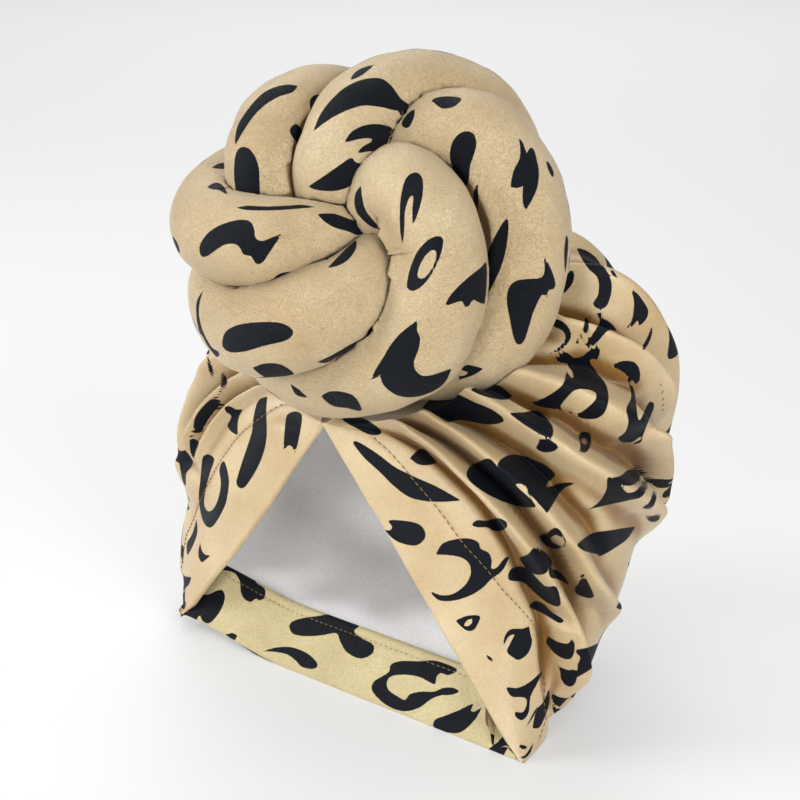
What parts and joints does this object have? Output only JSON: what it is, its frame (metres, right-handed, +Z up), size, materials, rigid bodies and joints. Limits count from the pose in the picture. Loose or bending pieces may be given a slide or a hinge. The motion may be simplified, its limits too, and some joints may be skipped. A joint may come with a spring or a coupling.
{
  "type": "turban headwrap",
  "caption": "Gathered satin head wrap with pleats that fan from a padded swirl knot above a triangular mouth, standing on its nape.",
  "frame": {"origin": "on the floor, in the flat patch that the cap rests on, 40 mm behind the nape edge", "axes": "+Z up, -Y out of the mouth, +X to the right as seen from the mouth"},
  "size_m": [0.2372, 0.192, 0.2759],
  "materials": {
    "printed_satin": "champagne satin with a dark blotched animal print, lustrous along its folds",
    "printed_crepe": "champagne crepe-back satin with the same print, finely crinkled over padding",
    "wrong_side": "khaki side of the printed cloth, matt, turned in and stitched",
    "lining_satin": "cool white satin lining"
  },
  "bodies": {
    "root": {"cap_shell": "printed_satin", "hem_left": "wrong_side", "hem_right": "wrong_side", "nape_band": "wrong_side", "lining": "lining_satin", "roll_front": "printed_crepe", "roll_right": "printed_crepe", "roll_top": "printed_crepe", "roll_upper_left": "printed_crepe", "roll_left": "printed_crepe", "roll_lower_left": "printed_crepe"}
  },
  "joints": []
}
